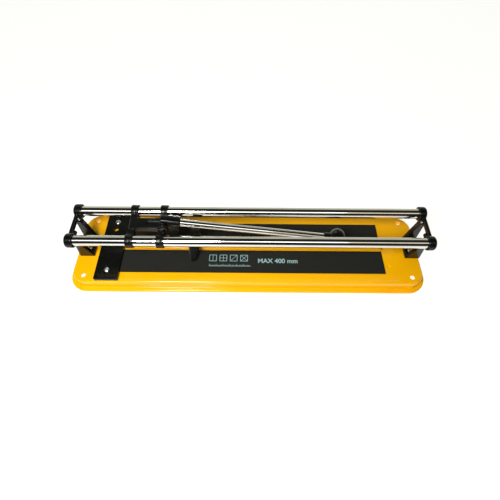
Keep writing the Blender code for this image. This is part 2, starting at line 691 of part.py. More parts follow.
def build_lever_head(frame):
    """The casting that holds the tube: a flat tongue between the ears, a round body and a fork."""
    outline = [(0.0, HEAD_END), (HEAD_RADIUS - HEAD_CHAMFER, HEAD_END),
               (HEAD_RADIUS, HEAD_END - HEAD_CHAMFER), (HEAD_RADIUS, HEAD_START + HEAD_CHAMFER),
               (HEAD_RADIUS - HEAD_CHAMFER, HEAD_START), (0.0, HEAD_START)]
    head = turn(new_part("lever_head", profile_mesh(outline), BLACK, ALONG_X, frame), 36)
    fork = [(WHEEL_AT - FORK_HALF_WIDTH - FORK_FLARE, FORK_ROOT), (WHEEL_AT - FORK_HALF_WIDTH, -WHEEL_DROP)]
    fork += arc((WHEEL_AT, -WHEEL_DROP), FORK_HALF_WIDTH, 180, 360, 10)[1:]
    fork += [(WHEEL_AT + FORK_HALF_WIDTH + FORK_FLARE, FORK_ROOT)]
    combine(head, [new_tool("fork_blade", plate_mesh(fork, 2 * FORK_HALF_Y), UPRIGHT, frame)], "UNION")
    reach = 2 * WHEEL_RADIUS
    slot = box_mesh((WHEEL_AT - reach, -FORK_SLOT_HALF, -WHEEL_DROP - reach),
                    (WHEEL_AT + reach, FORK_SLOT_HALF, FORK_SLOT_TOP))
    cutters = [new_tool("fork_slot", slot, Matrix(), frame)]
    for row_name, row in (("front", -1), ("rear", 1)):
        near, far = sorted((row * HEAD_TONGUE_HALF_Y, row * 2 * HEAD_RADIUS))
        flat = box_mesh((HEAD_START - CUT, near, -2 * HEAD_RADIUS), (HEAD_SHOULDER, far, 2 * HEAD_RADIUS))
        cutters.append(new_tool(f"head_flat_{row_name}", flat, Matrix(), frame))
    axle = Matrix.Translation((WHEEL_AT, 0, -WHEEL_DROP)) @ ALONG_Y
    set_screw = Matrix.Translation((SET_SCREW_AT, 0, 0)) @ ALONG_Y
    for name, mesh, place in (
            ("fork_bore", rod_mesh(AXLE_RADIUS + GAP, -HEAD_RADIUS, HEAD_RADIUS), axle),
            ("head_tube_bore", rod_mesh(TUBE_RADIUS + GAP, HEAD_BORE_START, HEAD_END + CUT, 32), ALONG_X),
            ("head_pin_bore", rod_mesh(PIN_BORE, -HEAD_RADIUS, HEAD_RADIUS), ALONG_Y),
            ("head_screw_bore", rod_mesh(CLEARANCE_RADIUS, -HEAD_RADIUS - CUT, -CUT, 20), set_screw)):
        cutters.append(new_tool(name, mesh, place, frame))
    combine(head, cutters, "DIFFERENCE")
    grub = rod_mesh(THREAD_RADIUS, -HEAD_RADIUS - GAP, -TUBE_RADIUS - GAP, 20)
    shade_round(new_part("handle_set_screw", grub, ZINC, set_screw, frame))
    return axle


def build_handle(frame):
    inside = TUBE_RADIUS - TUBE_WALL
    outline = [(TUBE_RADIUS, TUBE_END), (TUBE_RADIUS, TUBE_START), (inside, TUBE_START), (inside, TUBE_END)]
    tube = turn(new_part("handle_tube", profile_mesh(outline, closed=True), CHROME, ALONG_X, frame), 32)
    hole = rod_mesh(CLEARANCE_RADIUS, -TUBE_RADIUS - CUT, -CUT, 20)
    place = Matrix.Translation((FOOT_AT, 0, 0))
    combine(tube, [new_tool("tube_screw_hole", hole, place, frame)], "DIFFERENCE")
    bore = TUBE_RADIUS + GAP
    knob = [(0.0, KNOB_CENTRE + KNOB_HALF_LENGTH)]
    knob += [(KNOB_RADIUS * x, KNOB_CENTRE + KNOB_HALF_LENGTH * z) for x, z in arc((0, 0), 1, 80, -60, 14)]
    knob += [(COLLAR_RADIUS, COLLAR_END), (COLLAR_RADIUS, COLLAR_START + COLLAR_CHAMFER),
             (COLLAR_RADIUS - COLLAR_CHAMFER, COLLAR_START), (bore, COLLAR_START), (bore, TUBE_END + GAP),
             (0.0, TUBE_END + GAP)]
    turn(new_part("handle_knob", profile_mesh(knob), BLACK, ALONG_X, frame), 36)


def mirrored_outline(half):
    """A half section's points down to its middle, and the same points again mirrored."""
    return half + [(radius, -height) for radius, height in reversed(half)]


def build_wheel(frame, axle):
    """The wheel and its riveted axle; the wheel has its own frame because it spins."""
    outline = mirrored_outline([(AXLE_BORE, WHEEL_HALF_WIDTH), (WHEEL_HUB_RADIUS, WHEEL_HALF_WIDTH),
                                (WHEEL_HUB_RADIUS, WHEEL_DISC_HALF),
                                (WHEEL_RADIUS - WHEEL_EDGE_DEPTH, WHEEL_DISC_HALF),
                                (WHEEL_RADIUS, WHEEL_EDGE_HALF)])
    turn(new_part("scoring_wheel", profile_mesh(outline, closed=True), CARBIDE, axle, frame), 40)
    head = FORK_HALF_Y + GAP
    rivet = mirrored_outline([(0.0, head + RIVET_HEIGHT), (RIVET_RADIUS * 0.7, head + RIVET_HEIGHT * 0.85),
                              (RIVET_RADIUS, head + RIVET_HEIGHT * 0.3), (RIVET_RADIUS, head),
                              (AXLE_RADIUS, head)])
    turn(new_part("wheel_axle", profile_mesh(rivet), ZINC, axle, frame), 24)


def build_breaker_foot(frame):
    post = box_mesh((FOOT_AT - FOOT_POST_HALF_X, -FOOT_POST_HALF_Y, FOOT_POST_BOTTOM),
                    (FOOT_AT + FOOT_POST_HALF_X, FOOT_POST_HALF_Y, FOOT_POST_TOP))
    foot = bevel(new_part("breaker_foot", post, BLACK, Matrix(), frame), 0.0008, 1)
    tip = WING_LENGTH - WING_TIP_RADIUS
    outline = [(0.0, -WING_ROOT_HALF), (tip * WING_STRAIGHT, -WING_ROOT_HALF)]
    outline += arc((tip, 0), WING_TIP_RADIUS, -70, 70, 8)
    outline += [(tip * WING_STRAIGHT, WING_ROOT_HALF), (0.0, WING_ROOT_HALF)]
    wings = []
    for row_name, turn_by in (("front", -90), ("rear", 90)):
        start = (FOOT_AT, math.copysign(WING_START_Y, turn_by), WING_START_Z)
        place = Matrix.Translation(start) @ Matrix.Rotation(math.radians(turn_by), 4, "Z")
        place = place @ Matrix.Rotation(WING_SLOPE, 4, "Y")
        wings.append(new_tool(f"wing_{row_name}", plate_mesh(outline, WING_THICKNESS), place, frame))
    combine(foot, wings, "UNION")
    place = Matrix.Translation((FOOT_AT, 0, 0))
    below = 2 * FOOT_POST_BOTTOM
    saddle = rod_mesh(TUBE_RADIUS + GAP, FOOT_AT / 2, FOOT_AT * 2, 32)
    bore = rod_mesh(CLEARANCE_RADIUS, below, 0.0, 20)
    head_pocket = rod_mesh(FOOT_SCREW_HEAD_RADIUS + GAP, below, FOOT_SCREW_SEAT, 20)
    cutters = [new_tool("foot_saddle", saddle, ALONG_X, frame),
               new_tool("foot_screw_bore", bore, place, frame),
               new_tool("foot_screw_pocket", head_pocket, place, frame)]
    combine(foot, cutters, "DIFFERENCE")
    upside_down = place @ Matrix.Rotation(math.pi, 4, "X")
    seat = -FOOT_SCREW_SEAT + GAP
    length = seat - TUBE_RADIUS + TUBE_WALL * 2.5
    pan_screw("foot_screw", seat, length, upside_down, frame, head_radius=FOOT_SCREW_HEAD_RADIUS)


# ---------------------------------------------------------------- whole tool

clear_scene()
PARTS = new_collection("tile_cutter")
TOOLS = new_collection("cutting_tools")
YELLOW = new_material("yellow_enamel", (0.94, 0.54, 0.002), 0.25)
FOAM = new_material("black_foam", (0.024, 0.025, 0.020), 0.85)
BLACK = new_material("black_enamel", (0.010, 0.010, 0.010), 0.25)
CHROME = new_material("chrome", (0.80, 0.80, 0.78), 0.08, 1.0)
ZINC = new_material("zinc_plate", (0.68, 0.70, 0.70), 0.30, 1.0)
CARBIDE = new_material("tungsten_carbide", (0.35, 0.35, 0.36), 0.30, 1.0)

build_tray()
build_pads()
build_fence()
build_rails()
build_bracket("left", -1)
build_bracket("right", 1)

CARRIAGE = new_frame("carriage_slide", Matrix.Translation((RING_XS[0], 0, RAIL_Z)))
bpy.context.view_layer.update()
build_carriage(CARRIAGE)

PIVOT_PLACE = Matrix.Translation((PIVOT_X, 0, PIVOT_Z)) @ Matrix.Rotation(LEVER_TILT, 4, "Y")
LEVER = new_frame("lever_pivot", PIVOT_PLACE)
build_wheel(LEVER, build_lever_head(LEVER))
build_handle(LEVER)
build_breaker_foot(LEVER)
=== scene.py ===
"""The looks of the tile cutter: fine meshes, materials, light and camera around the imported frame."""
import json
import math
import random

import bmesh
import bpy
from mathutils import Matrix, Vector


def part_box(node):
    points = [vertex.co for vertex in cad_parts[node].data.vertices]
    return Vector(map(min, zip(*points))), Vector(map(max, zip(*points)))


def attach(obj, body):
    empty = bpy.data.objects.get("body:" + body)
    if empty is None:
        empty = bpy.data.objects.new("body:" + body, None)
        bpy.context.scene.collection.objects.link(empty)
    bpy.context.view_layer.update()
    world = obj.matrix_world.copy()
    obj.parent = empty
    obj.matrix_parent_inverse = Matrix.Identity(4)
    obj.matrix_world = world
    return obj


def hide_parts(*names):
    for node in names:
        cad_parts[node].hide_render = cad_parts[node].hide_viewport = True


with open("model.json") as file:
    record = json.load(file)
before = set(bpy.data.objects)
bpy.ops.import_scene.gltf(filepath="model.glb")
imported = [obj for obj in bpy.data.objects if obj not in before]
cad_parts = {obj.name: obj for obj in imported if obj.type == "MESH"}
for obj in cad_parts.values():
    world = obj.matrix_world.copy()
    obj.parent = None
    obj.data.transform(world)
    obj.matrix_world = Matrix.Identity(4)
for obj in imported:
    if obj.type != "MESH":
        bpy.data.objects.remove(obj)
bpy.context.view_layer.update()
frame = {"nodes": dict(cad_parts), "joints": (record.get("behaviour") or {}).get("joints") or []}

# ---- camera, in metres and degrees
CAMERA_PLACE = (-0.0005, -0.2807, 0.4545)
CAMERA_PITCH = 57.72
CAMERA_YAW = 0.55
CAMERA_ROLL = 0.905
CAMERA_LENS = 25.92
SENSOR_WIDTH = 36.0

# ---- tray, with the CAD model's sizes; the dimple is only here
TRAY_TOP = 0.016
TRAY_CORNER = 0.020
TRAY_SHEET = 0.0012
FLANGE_WIDTH = 0.0065
FLANGE_TOP = 0.003
LIP_RADIUS = 0.0018
FOOT_FILLET = 0.0012
EDGE_RADIUS = 0.0025
WALL_DRAFT = 0.0005
CORNER_STEPS = 20
SECTION_STEPS = 6
MOUNT_HOLES = (0.2267, 0.0465)
MOUNT_HOLE_RADIUS = 0.00325
HOLE_REACH = 0.006
RIDGE_WIDTH = 0.008
RIDGE_HEIGHT = 0.003
RIDGE_X = (-0.170, 0.194)
DIMPLE = (0.197, -0.0286)
DIMPLE_RADIUS = 0.008
DIMPLE_DEPTH = 0.0006

# ---- pads: grid cells, the border that slopes down, how far the top dips, and its waves in
# radians per metre along X and Y
PAD_CELLS = (180, 20)
PAD_BORDER = 0.0007
PAD_BORDER_SLOPE = 0.5
PAD_DIP = 0.00006
PAD_BEVEL = 0.0003
PAD_WAVES = ((61.0, 90.0), (23.0, -140.0))

# ---- print on the front pad: four tiles in a row, a rule below them, and the words
PRINT_X = -0.0500
PRINT_Y = -0.0233
PRINT_SINK = 0.00002
INK_THICKNESS = 0.00003
TILE_SIDE = 0.0098
TILE_STEP = 0.0146
TILE_RISE = 0.0045
TILE_LINE = 0.0008
TILE_SCORES = ((90,), (0, 90), (45,), (45, 135))
SCORE_LINE = TILE_LINE * 0.75
SCORE_LIFT = 0.000001
STRAIGHT_SHARE = 0.98
DIAGONAL_SHARE = 1.25
RULE_LENGTH = 0.0580
RULE_DROP = 0.0085
RULE_LINE = 0.0006
TICK_COUNT = 30
TICK_STEP = 0.0019
TICK_INSET = 0.0003
TICK_DROP = 0.0082
TICK_LINE = 0.0005
LONG_TICK = 0.0030
SHORT_TICK = 0.0016
WORDS = "MAX 400 mm"
WORDS_X = 0.0130
WORDS_DROP = 0.0030
WORDS_SIZE = 0.0098
WORDS_WEIGHT = 0.00022

# ---- fence, with the CAD model's sizes; its rounded corners are only here
FENCE_CORNER = 0.0016
FENCE_BEVEL = 0.0007
FENCE_RECESS_RADIUS = 0.0055
FENCE_RECESS_DEPTH = 0.0016
FENCE_HOLE = (-0.1950, 0.0275)
FENCE_HOLE_RADIUS = 0.0034

# ---- screws, nuts and grub screws; shoulder and rim are shares of the head's height, and the
# cross's blades are shares of its size
SCREW_HOLE_RADIUS = 0.0024
PAN_HEAD_RADIUS = 0.0038
PAN_HEAD_HEIGHT = 0.0024
PAN_HEAD_SHOULDER = 0.28
PAN_HEAD_RIM = 0.22
PAN_HEAD_DRAFT = 0.0001
CROSS_SHARE = 0.64
BLADE_SHARES = (2, 0.50, 1.7)
BLADE_TAPER = (0.45, 0.8)
THREAD_RADIUS = 0.0020
THREAD_ROOT = 0.00172
THREAD_PITCH = 0.0007
THREAD_START = 0.0003
POINT_RADIUS = 0.0015
POINT_LENGTH = 0.001
NUT_CHAMFER = 0.001
NUT_FACE_SHARE = 0.80
NUT_REACH_SHARE = 1.08
GRUB_CHAMFER = (0.0003, 0.0003)
GRUB_POINT = (0.0005, 0.0004)
HEX_RADIUS = 0.00115
HEX_DEPTH = 0.0016
CUT = 0.002

# ---- castings: the mesh size of their skin, and which body each one rides on
CAST_VOXEL = 0.00042
CAST_WELD = 0.00001
CAST_SMOOTHING = 5
CAST_DETAIL = 0.35
CASTINGS = {"left_bracket": "base", "right_bracket": "base", "carriage_frame": "carriage",
            "lever_head": "lever", "breaker_foot": "lever"}

# ---- rails, tube, knob and wheel, with distances along the tube measured from the pivot
RAIL_WALL = 0.0012
RAIL_CHAMFER = 0.0005
LEVER_TILT = math.radians(8.95)
TUBE_RADIUS = 0.0050
TUBE_WALL = 0.0010
TUBE_CHAMFER = 0.0003
TUBE_START = 0.0076
TUBE_END = 0.2300
KNOB_CENTRE = 0.2360
KNOB_HALF_LENGTH = 0.0118
KNOB_RADIUS = 0.0137               # 0.2 mm under the CAD model's, so that the seam stays inside it
KNOB_SEAM = 0.00018
KNOB_BORE = 0.0053
KNOB_BORE_END = 0.2303
COLLAR_OUTLINE = [(0.0068, 0.2251), (0.0065, 0.2244), (0.0065, 0.2176), (0.0061, 0.2167)]
WHEEL_HUB_RADIUS = 0.0044
WHEEL_HUB_CHAMFER = 0.0002
WHEEL_HALF_WIDTH = 0.0017
WHEEL_DISC_HALF = 0.0011
WHEEL_EDGE_HALF = 0.0001
WHEEL_EDGE_DEPTH = 0.0022
WHEEL_EDGE_SOFTENING = (0.0002, 0.0001)
WHEEL_BORE = 0.0025
NODE_BEVEL = 0.00012

# ---- light: the floor's glow and the stretch of Y where it comes up to it, bands of
# (degrees up from the wall behind, brightness) round the X axis, and the lamps as
# (name, place, the point it faces, width and depth, watts, colour)
FLOOR_GLOW = 0.90
FLOOR_FRONT_GLOW = 0.20
FLOOR_FRONT = (-0.345, -0.303)
FLOOR_SIZE = 6.0
FLOOR_DROP = 0.0001
WORLD_BANDS = ((0, 0.60), (42, 0.60), (58, 0.02), (98, 0.02),
               (104, 0.06), (140, 0.06), (147, 0.015), (180, 0.015))
WORLD_TINT = (1.0, 0.99, 0.80)
LAMPS = (
    ("key", (-0.20, -0.36, 0.56), (-0.05, 0, 0.02), (0.20, 0.26), 5.0, (1, 1, 1)),
    ("softbox", (-0.33, -0.80, 1.34), (-0.33, 0, 0.07), (1.75, 0.45), 6.0, (1, 1, 1)),
    ("softbox_side", (0.85, -0.80, 1.34), (0.85, 0, 0.07), (0.6, 0.45), 0.9, (1.0, 0.86, 0.70)),
)

CORNER_SIDES = ((1, 1), (-1, 1), (-1, -1), (1, -1))
JOINTS = {joint["name"]: joint for joint in frame["joints"]}
PIVOT = Vector(JOINTS["handle_pivot"]["pos_m"])
LEVER = Matrix.Translation(PIVOT) @ Matrix.Rotation(LEVER_TILT, 4, "Y")
ALONG_X = Matrix.Rotation(math.radians(90), 4, "Y")
ALONG_Y = Matrix.Rotation(math.radians(-90), 4, "X")


# ================================================================ materials

class Finish:
    """A material's node tree with its Principled shader and the helpers that build on it."""

    def __init__(self, name, colour, roughness, metallic=0.0):
        self.material = bpy.data.materials.new(name)
        self.material.use_nodes = True
        self.tree = self.material.node_tree
        self.shader = self.tree.nodes["Principled BSDF"]
        self.set("Base Color", (*colour, 1.0))
        self.set("Roughness", roughness)
        self.set("Metallic", metallic)
        self.place = self.add("ShaderNodeTexCoord").outputs["Object"]

    def add(self, kind):
        return self.tree.nodes.new(kind)

    def set(self, socket, value):
        self.shader.inputs[socket].default_value = value

    def link(self, source, target):
        self.tree.links.new(source, target)

    def stretched(self, scale):
        """The object's coordinates, scaled unevenly."""
        node = self.add("ShaderNodeMapping")
        node.inputs["Scale"].default_value = scale
        self.link(self.place, node.inputs["Vector"])
        return node.outputs["Vector"]

    def noise(self, scale, detail=3.0, roughness=0.5, vector=None):
        node = self.add("ShaderNodeTexNoise")
        node.inputs["Scale"].default_value = scale
        node.inputs["Detail"].default_value = detail
        node.inputs["Roughness"].default_value = roughness
        self.link(vector or self.place, node.inputs["Vector"])
        return node.outputs["Fac"]

    def cells(self, scale):
        node = self.add("ShaderNodeTexVoronoi")
        node.inputs["Scale"].default_value = scale
        self.link(self.place, node.inputs["Vector"])
        return node.outputs["Distance"]

    def ramp(self, source, stops):
        node = self.add("ShaderNodeValToRGB")
        elements = node.color_ramp.elements
        while len(elements) < len(stops):
            elements.new(0.5)
        for element, (position, colour) in zip(elements, stops):
            element.position = position
            element.color = (*colour, 1.0)
        self.link(source, node.inputs["Fac"])
        return node.outputs["Color"]

    def range(self, source, low, high, from_low=0.3, from_high=0.7):
        node = self.add("ShaderNodeMapRange")
        node.inputs["From Min"].default_value = from_low
        node.inputs["From Max"].default_value = from_high
        node.inputs["To Min"].default_value = low
        node.inputs["To Max"].default_value = high
        self.link(source, node.inputs["Value"])
        return node.outputs["Result"]

    def mix(self, factor, first, second):
        node = self.add("ShaderNodeMix")
        node.data_type = "RGBA"
        self.link(factor, node.inputs["Factor"])
        for socket, value in (("A", first), ("B", second)):
            target = [entry for entry in node.inputs if entry.name == socket and entry.type == "RGBA"][0]
            if isinstance(value, tuple):
                target.default_value = (*value, 1.0)
            else:
                self.link(value, target)
        return [entry for entry in node.outputs if entry.type == "RGBA"][0]

    def colour_from(self, source):
        self.link(source, self.shader.inputs["Base Color"])

    def roughness_from(self, source):
        self.link(source, self.shader.inputs["Roughness"])

    def bumps(self, *layers):
        """Bump layers as (height socket, strength, distance in metres), the coarsest first."""
        normal = None
        for height, strength, distance in layers:
            node = self.add("ShaderNodeBump")
            node.inputs["Strength"].default_value = strength
            node.inputs["Distance"].default_value = distance
            self.link(height, node.inputs["Height"])
            if normal is not None:
                self.link(normal, node.inputs["Normal"])
            normal = node.outputs["Normal"]
        self.link(normal, self.shader.inputs["Normal"])


def yellow_enamel():
    finish = Finish("yellow_enamel", (0.93, 0.437, 0.0008), 0.2)
    cloud = finish.noise(9.0, 2.0)
    finish.colour_from(finish.ramp(cloud, [(0.30, (0.91, 0.430, 0.0006)),
                                           (0.70, (0.94, 0.456, 0.0010))]))
    smudge = finish.noise(55.0, 4.0, 0.6)
    finish.roughness_from(finish.range(smudge, 0.12, 0.17))
    finish.set("Specular IOR Level", 0.35)
    finish.set("Coat Weight", 0.20)
    finish.set("Coat Roughness", 0.05)
    finish.bumps((finish.noise(90.0, 2.0), 0.008, 0.0004), (finish.noise(900.0, 2.0), 0.006, 0.0001))
    return finish.material


def foam():
    finish = Finish("black_foam", (0.024, 0.025, 0.020), 0.9)
    speck = finish.noise(2600.0, 3.0, 0.65)
    tone = finish.ramp(speck, [(0.34, (0.0090, 0.0095, 0.0075)), (0.52, (0.0150, 0.0158, 0.0127)),
                               (0.72, (0.0260, 0.0272, 0.0225))])
    patch = finish.range(finish.noise(22.0, 3.0), 0.0, 0.35)
    finish.colour_from(finish.mix(patch, tone, (0.0175, 0.0182, 0.0152)))
    finish.roughness_from(finish.range(speck, 0.82, 0.97))
    finish.set("Specular IOR Level", 0.10)
    finish.bumps((finish.cells(900.0), 0.25, 0.0003), (speck, 0.55, 0.0002))
    return finish.material


def black_enamel():
    finish = Finish("black_enamel", (0.004, 0.004, 0.004), 0.16)
    cloud = finish.noise(70.0, 4.0, 0.6)
    finish.colour_from(finish.ramp(cloud, [(0.30, (0.0030, 0.0034, 0.0028)),
                                           (0.70, (0.0055, 0.0060, 0.0050))]))
    finish.roughness_from(finish.range(cloud, 0.13, 0.21))
    finish.set("Specular IOR Level", 0.20)
    finish.set("Coat Weight", 0.04)
    finish.set("Coat Roughness", 0.05)
    finish.bumps((finish.noise(160.0, 2.0), 0.03, 0.0004), (finish.noise(1500.0, 2.0), 0.02, 0.0001))
    return finish.material


def knob_plastic():
    finish = Finish("knob_plastic", (0.004, 0.004, 0.004), 0.2)
    cloud = finish.noise(90.0, 4.0, 0.6)
    finish.colour_from(finish.ramp(cloud, [(0.3, (0.0030, 0.0032, 0.0028)),
                                           (0.7, (0.0050, 0.0052, 0.0046))]))
    finish.roughness_from(finish.range(cloud, 0.17, 0.25))
    finish.set("Specular IOR Level", 0.25)
    finish.bumps((finish.noise(200.0, 2.0), 0.02, 0.0003), (finish.noise(2000.0, 2.0), 0.02, 0.0001))
    return finish.material


def chrome():
    finish = Finish("chrome", (0.80, 0.80, 0.77), 0.07, 1.0)
    drawn = finish.noise(1.0, 3.0, 0.6, finish.stretched((14.0, 3200.0, 3200.0)))
    cloud = finish.noise(30.0, 3.0)
    finish.colour_from(finish.ramp(cloud, [(0.3, (0.72, 0.725, 0.69)), (0.7, (0.80, 0.80, 0.77))]))
    finish.roughness_from(finish.range(drawn, 0.05, 0.11))
    finish.bumps((drawn, 0.03, 0.00005))
    return finish.material


def zinc():
    finish = Finish("zinc_plate", (0.66, 0.69, 0.70), 0.28, 1.0)
    cloud = finish.noise(600.0, 4.0, 0.6)
    finish.colour_from(finish.ramp(cloud, [(0.3, (0.50, 0.55, 0.57)), (0.7, (0.78, 0.80, 0.78))]))
    finish.roughness_from(finish.range(cloud, 0.20, 0.38))
    finish.bumps((cloud, 0.15, 0.0001))
    return finish.material


def carbide():
    finish = Finish("carbide", (0.36, 0.36, 0.37), 0.25, 1.0)
    grind = finish.noise(900.0, 5.0, 0.7)
    finish.colour_from(finish.ramp(grind, [(0.3, (0.26, 0.26, 0.27)), (0.7, (0.46, 0.46, 0.47))]))
    finish.roughness_from(finish.range(grind, 0.18, 0.36))
    finish.bumps((grind, 0.12, 0.0001))
    return finish.material


def ink():
    finish = Finish("pale_ink", (0.24, 0.39, 0.40), 0.7)
    wear = finish.noise(1800.0, 3.0, 0.7)
    finish.colour_from(finish.ramp(wear, [(0.32, (0.10, 0.16, 0.165)), (0.46, (0.26, 0.41, 0.42)),
                                          (0.7, (0.32, 0.48, 0.48))]))
    finish.roughness_from(finish.range(wear, 0.55, 0.85))
    finish.bumps((wear, 0.3, 0.0001))
    return finish.material


def floor_finish():
    """White paper that glows as on a light table, so that shadows stay faint, and grey in front."""
    finish = Finish("floor", (0.9, 0.9, 0.9), 0.6)
    parts = finish.add("ShaderNodeSeparateXYZ")
    finish.link(finish.place, parts.inputs["Vector"])
    near, far = FLOOR_FRONT
    lit = finish.range(parts.outputs["Y"], 0.0, 1.0, near, far)
    paper = finish.ramp(finish.noise(3.0, 2.0), [(0.3, (0.24, 0.24, 0.235)), (0.7, (0.27, 0.27, 0.265))])
    finish.colour_from(finish.mix(lit, (0.25, 0.25, 0.25), paper))
    finish.set("Specular IOR Level", 0.1)
    finish.set("Emission Color", (1.0, 1.0, 0.97, 1.0))
    glow = finish.range(lit, FLOOR_FRONT_GLOW, FLOOR_GLOW, 0.0, 1.0)
    finish.link(glow, finish.shader.inputs["Emission Strength"])
    return finish.material


# ================================================================ mesh helpers

def new_piece(name, mesh, material, body, replaced):
    piece = bpy.data.objects.new(name, mesh)
    bpy.context.scene.collection.objects.link(piece)
    mesh.materials.clear()
    mesh.materials.append(material)
    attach(piece, body)
    if replaced:
        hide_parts(*replaced)
    return piece


def helper(name, mesh, place=Matrix()):
    """An object that is worked on or cuts another; baked() removes it."""
    item = bpy.data.objects.new(name, mesh)
    bpy.context.scene.collection.objects.link(item)
    item.matrix_world = place
    return item


def mesh_from(shape, name, place=None):
    if place is not None:
        bmesh.ops.transform(shape, matrix=place, verts=shape.verts)
    bmesh.ops.recalc_face_normals(shape, faces=shape.faces)
    mesh = bpy.data.meshes.new(name)
    shape.to_mesh(mesh)
    shape.free()
    return mesh


def shade(mesh, angle=35):
    mesh.shade_smooth()
    mesh.set_sharp_from_angle(angle=math.radians(angle))
    return mesh


def arc(centre, radius, start, end, steps):
    points = []
    for step in range(steps + 1):
        angle = math.radians(start + (end - start) * step / steps)
        points.append((centre[0] + radius * math.cos(angle), centre[1] + radius * math.sin(angle)))
    return points


def turned_mesh(name, outline, place, closed=False, segments=64):
    """A (radius, height) outline turned about Z, then placed."""
    shape = bmesh.new()
    points = [shape.verts.new((radius, 0, height)) for radius, height in outline]
    pairs = list(zip(points, points[1:]))
    if closed:
        pairs.append((points[-1], points[0]))
    edges = [shape.edges.new(pair) for pair in pairs]
    bmesh.ops.spin(shape, geom=points + edges, cent=(0, 0, 0), axis=(0, 0, 1), angle=2 * math.pi,
                   steps=segments, use_merge=True, use_duplicate=False)
    bmesh.ops.remove_doubles(shape, verts=shape.verts, dist=0.000004)
    return shade(mesh_from(shape, name, place), 28)


def rod_mesh(radius, low, high, segments=48):
    shape = bmesh.new()
    bmesh.ops.create_cone(shape, cap_ends=True, segments=segments, radius1=radius, radius2=radius,
                          depth=high - low)
    bmesh.ops.translate(shape, vec=(0, 0, (low + high) / 2), verts=shape.verts)
    return mesh_from(shape, "rod")


def box_mesh(low, high):
    low = Vector(low)
    high = Vector(high)
    shape = bmesh.new()
    bmesh.ops.create_cube(shape, size=1.0)
    bmesh.ops.scale(shape, vec=high - low, verts=shape.verts)
    bmesh.ops.translate(shape, vec=(low + high) / 2, verts=shape.verts)
    return mesh_from(shape, "box")


def slab_shape(outline, bottom, height):
    """An (x, y) outline raised into a flat slab."""
    shape = bmesh.new()
    face = shape.faces.new([shape.verts.new((x, y, bottom)) for x, y in outline])
    extruded = bmesh.ops.extrude_face_region(shape, geom=[face])
    moved = [item for item in extruded["geom"] if isinstance(item, bmesh.types.BMVert)]
    bmesh.ops.translate(shape, vec=(0, 0, height), verts=moved)
    return shape


def rounded_slab(low, high, radius):
    """A block whose upright edges are rounded."""
    outline = []
    for corner, (side_x, side_y) in enumerate(CORNER_SIDES):
        centre = ((high[0] if side_x > 0 else low[0]) - side_x * radius,
                  (high[1] if side_y > 0 else low[1]) - side_y * radius)
        outline += arc(centre, radius, 90 * corner, 90 * corner + 90, 6)
    return mesh_from(slab_shape(outline, low[2], high[2] - low[2]), "slab")


def add_boolean(item, tool, operation):
    modifier = item.modifiers.new(tool.name, "BOOLEAN")
    modifier.operation = operation
    modifier.solver = "EXACT"
    modifier.object = tool


def baked(item, tools, name):
    """The item's mesh with its modifiers applied; the item and its tools are removed."""
    bpy.context.view_layer.update()
    mesh = bpy.data.meshes.new_from_object(item.evaluated_get(bpy.context.evaluated_depsgraph_get()))
    mesh.name = name
    for used in (item, *tools):
        bpy.data.objects.remove(used)
    return mesh


def round_edges(item, width, segments=3, angle=35):
    modifier = item.modifiers.new("round edges", "BEVEL")
    modifier.width = width
    modifier.segments = segments
    modifier.limit_method = "ANGLE"
    modifier.angle_limit = math.radians(angle)
    modifier.use_clamp_overlap = True
    modifier.harden_normals = True


def flat_normals(item):
    modifier = item.modifiers.new("even normals", "WEIGHTED_NORMAL")
    modifier.keep_sharp = True


# ================================================================ tray

def tray_loop(outset, height):
    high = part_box("base_tray")[1]
    half_x = high[0] - FLANGE_WIDTH
    half_y = high[1] - FLANGE_WIDTH
    radius = TRAY_CORNER + outset
    points = []
    for corner, (side_x, side_y) in enumerate(CORNER_SIDES):
        centre = (side_x * (half_x - TRAY_CORNER), side_y * (half_y - TRAY_CORNER))
        curve = arc(centre, radius, 90 * corner, 90 * corner + 90, CORNER_STEPS)
        points += [(x, y, height) for x, y in curve]
    return points


def tray_section():
    """(outset, height) points from the rim's foot over the lip and up the wall to the top."""
    lip = (FLANGE_WIDTH - LIP_RADIUS, FLANGE_TOP - LIP_RADIUS)
    fillet = (WALL_DRAFT + FOOT_FILLET, FLANGE_TOP + FOOT_FILLET)
    edge = (-EDGE_RADIUS, TRAY_TOP - EDGE_RADIUS)
    section = [(FLANGE_WIDTH, 0.0)]
    section += arc(lip, LIP_RADIUS, 0, 90, SECTION_STEPS)
    section += arc(fillet, FOOT_FILLET, 270, 180, SECTION_STEPS)
    section += arc(edge, EDGE_RADIUS, 0, 90, SECTION_STEPS)
    return section


def ridge_capsule(radius, place):
    """A ball stretched along X; only its cap shows above the tray."""
    shape = bmesh.new()
    bmesh.ops.create_uvsphere(shape, u_segments=48, v_segments=25, radius=radius)
    bmesh.ops.rotate(shape, verts=shape.verts, matrix=ALONG_X.to_3x3())
    reach = (RIDGE_X[1] - RIDGE_X[0]) / 2 - RIDGE_WIDTH / 2
    for vertex in shape.verts:
        vertex.co.x += math.copysign(reach, vertex.co.x)
    return mesh_from(shape, "ridge", place)


def tray_shell():
    """The tray's outer skin, with a modifier that makes it a sheet."""
    shape = bmesh.new()
    loops = [[shape.verts.new(point) for point in tray_loop(outset, height)]
             for outset, height in tray_section()]
    for lower, upper in zip(loops, loops[1:]):
        for index in range(len(lower)):
            following = (index + 1) % len(lower)
            shape.faces.new((lower[index], lower[following], upper[following], upper[index]))
    shape.faces.new(loops[-1])
    shell = helper("tray_shell", mesh_from(shape, "tray"))
    sheet = shell.modifiers.new("sheet", "SOLIDIFY")
    sheet.thickness = TRAY_SHEET
    sheet.offset = -1.0
    sheet.use_even_offset = True
    return shell


